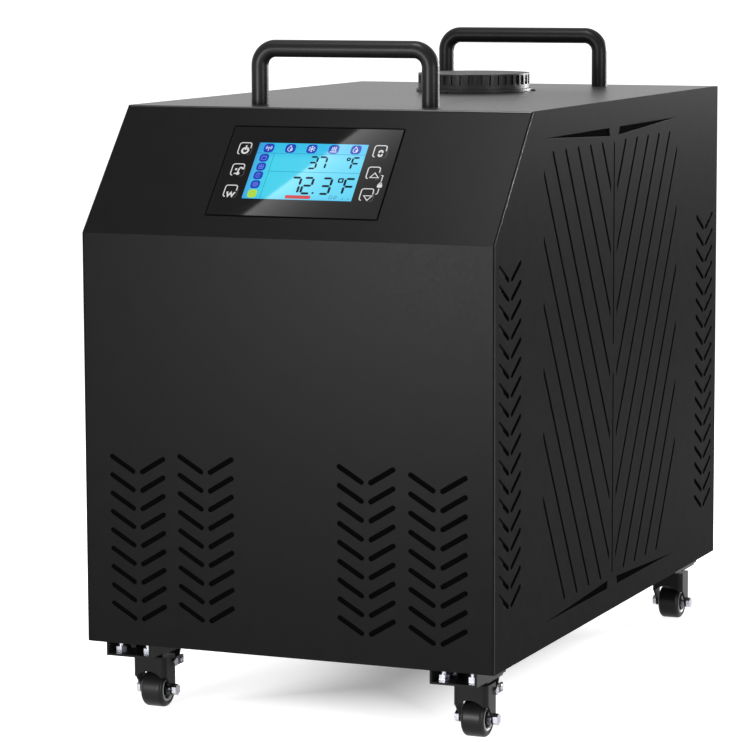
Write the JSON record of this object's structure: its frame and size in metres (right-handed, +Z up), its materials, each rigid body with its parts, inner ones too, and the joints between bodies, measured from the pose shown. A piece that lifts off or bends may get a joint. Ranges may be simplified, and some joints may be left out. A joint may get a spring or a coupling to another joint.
{
  "type": "ice bath chiller",
  "caption": "Free-standing water chiller for a cold plunge tub: black vented steel cabinet with sloped display, two carry handles, screw-capped filter and swivel casters.",
  "frame": {"origin": "on the floor, below the centre of the overall outline in X and Y", "axes": "+X to the right as seen by someone facing the display, +Y from the front to the back along the depth, +Z up"},
  "size_m": [0.4, 0.672, 0.619],
  "materials": {
    "cabinet_black": "fine matte powder coat",
    "pan_black": "matte powder coat",
    "frame_steel": "black coated steel",
    "screw_steel": "zinc-plated steel",
    "handle_black": "satin black coat",
    "display_glass": "gloss black glass with a clear window",
    "lcd_blue": "lit liquid crystal panel",
    "board_green": "circuit board",
    "plastic_black": "moulded plastic",
    "pleated_white": "pleated filter paper",
    "rubber_black": "moulded rubber",
    "foam_black": "open-cell foam",
    "shell_black": "gloss black enamel",
    "fin_aluminium": "plain aluminium",
    "motor_grey": "grey enamel",
    "copper": "plain copper tube",
    "barrel_grey": "moulded plastic",
    "box_grey": "zinc-plated sheet",
    "hose_grey": "smooth hose",
    "impeller_white": "moulded plastic",
    "port_brass": "machined brass",
    "fork_black": "black coated steel",
    "wheel_black": "moulded wheel",
    "bolt_steel": "bright zinc-plated steel"
  },
  "bodies": {
    "cabinet": {"base_pan": "pan_black", "front_cover": "cabinet_black", "left_side_panel": "cabinet_black", "right_side_panel": "cabinet_black", "top_panel": "cabinet_black", "rear_panel": "cabinet_black", "inner_frame": "frame_steel", "dust_filters": "foam_black", "cabinet_screws": "screw_steel", "front_handle": "handle_black", "rear_handle": "handle_black", "display_glass": "display_glass", "lcd_module": "lcd_blue", "display_board": "board_green", "display_housing": "plastic_black", "filter_bowl": "plastic_black", "filter_cartridge": "pleated_white", "filter_collar": "plastic_black", "compressor": "shell_black", "compressor_mounts": "rubber_black", "accumulator": "shell_black", "condenser": "fin_aluminium", "fan_shroud": "pan_black", "fan_motor": "motor_grey", "heat_exchanger": "barrel_grey", "filter_drier": "copper", "copper_pipes": "copper", "pump_volute": "plastic_black", "pump_motor": "motor_grey", "suction_hose": "hose_grey", "pump_hose": "hose_grey", "return_hose": "hose_grey", "control_box": "box_grey", "control_board": "board_green", "run_capacitor": "fin_aluminium", "water_inlet": "port_brass", "water_outlet": "port_brass", "cable_gland": "plastic_black", "riser_brackets": "fork_black", "swivel_plates": "fork_black", "caster_bolts": "bolt_steel"},
    "caster_front_left": {"fork_front_left": "fork_black", "axle_front_left": "bolt_steel"},
    "caster_front_right": {"fork_front_right": "fork_black", "axle_front_right": "bolt_steel"},
    "caster_rear_left": {"fork_rear_left": "fork_black", "axle_rear_left": "bolt_steel"},
    "caster_rear_right": {"fork_rear_right": "fork_black", "axle_rear_right": "bolt_steel"},
    "roller_front_left": {"wheel_front_left": "wheel_black"},
    "roller_front_right": {"wheel_front_right": "wheel_black"},
    "roller_rear_left": {"wheel_rear_left": "wheel_black"},
    "roller_rear_right": {"wheel_rear_right": "wheel_black"},
    "brake_lever_front_left": {"brake_front_left": "plastic_black"},
    "brake_lever_front_right": {"brake_front_right": "plastic_black"},
    "fan": {"fan_blade": "plastic_black"},
    "impeller": {"pump_impeller": "impeller_white"},
    "cap_lift_ring": {"cap_seal": "rubber_black"},
    "screw_cap": {"filter_cap": "plastic_black"}
  },
  "joints": [
    {"name": "caster_swivel_front_left", "type": "hinge", "parent": "cabinet", "child": "caster_front_left", "pos_m": [-0.16, -0.286, 0.05], "axis": [0, 0, 1], "continuous": true},
    {"name": "caster_swivel_front_right", "type": "hinge", "parent": "cabinet", "child": "caster_front_right", "pos_m": [0.16, -0.286, 0.05], "axis": [0, 0, 1], "continuous": true},
    {"name": "caster_swivel_rear_left", "type": "hinge", "parent": "cabinet", "child": "caster_rear_left", "pos_m": [-0.16, 0.284, 0.05], "axis": [0, 0, 1], "continuous": true},
    {"name": "caster_swivel_rear_right", "type": "hinge", "parent": "cabinet", "child": "caster_rear_right", "pos_m": [0.16, 0.284, 0.05], "axis": [0, 0, 1], "continuous": true},
    {"name": "wheel_spin_front_left", "type": "hinge", "parent": "caster_front_left", "child": "roller_front_left", "pos_m": [-0.16, -0.274, 0.017], "axis": [1, 0, 0], "continuous": true},
    {"name": "wheel_spin_front_right", "type": "hinge", "parent": "caster_front_right", "child": "roller_front_right", "pos_m": [0.16, -0.274, 0.017], "axis": [1, 0, 0], "continuous": true},
    {"name": "wheel_spin_rear_left", "type": "hinge", "parent": "caster_rear_left", "child": "roller_rear_left", "pos_m": [-0.16, 0.296, 0.017], "axis": [1, 0, 0], "continuous": true},
    {"name": "wheel_spin_rear_right", "type": "hinge", "parent": "caster_rear_right", "child": "roller_rear_right", "pos_m": [0.16, 0.296, 0.017], "axis": [1, 0, 0], "continuous": true},
    {"name": "brake_press_front_left", "type": "hinge", "parent": "caster_front_left", "child": "brake_lever_front_left", "pos_m": [-0.16, -0.272, 0.0426], "axis": [1, 0, 0], "range_deg": [-20, 0]},
    {"name": "brake_press_front_right", "type": "hinge", "parent": "caster_front_right", "child": "brake_lever_front_right", "pos_m": [0.16, -0.272, 0.0426], "axis": [1, 0, 0], "range_deg": [-20, 0]},
    {"name": "fan_spin", "type": "hinge", "parent": "cabinet", "child": "fan", "pos_m": [0.12, -0.026, 0.2405], "axis": [1, 0, 0], "continuous": true},
    {"name": "impeller_spin", "type": "hinge", "parent": "cabinet", "child": "impeller", "pos_m": [-0.02, 0.13, 0.129], "axis": [1, 0, 0], "continuous": true},
    {"name": "cap_lift", "type": "slide", "parent": "cabinet", "child": "cap_lift_ring", "axis": [0, 0, 1], "range_m": [0, 0.01201]},
    {"name": "cap_turn", "type": "hinge", "parent": "cap_lift_ring", "child": "screw_cap", "pos_m": [0, 0.13, 0.567], "axis": [0, 0, 1], "range_deg": [0, 1080]}
  ],
  "couplings": [
    {"joint": "cap_lift", "follows": "cap_turn", "m_per_rad": 0.00063662}
  ]
}
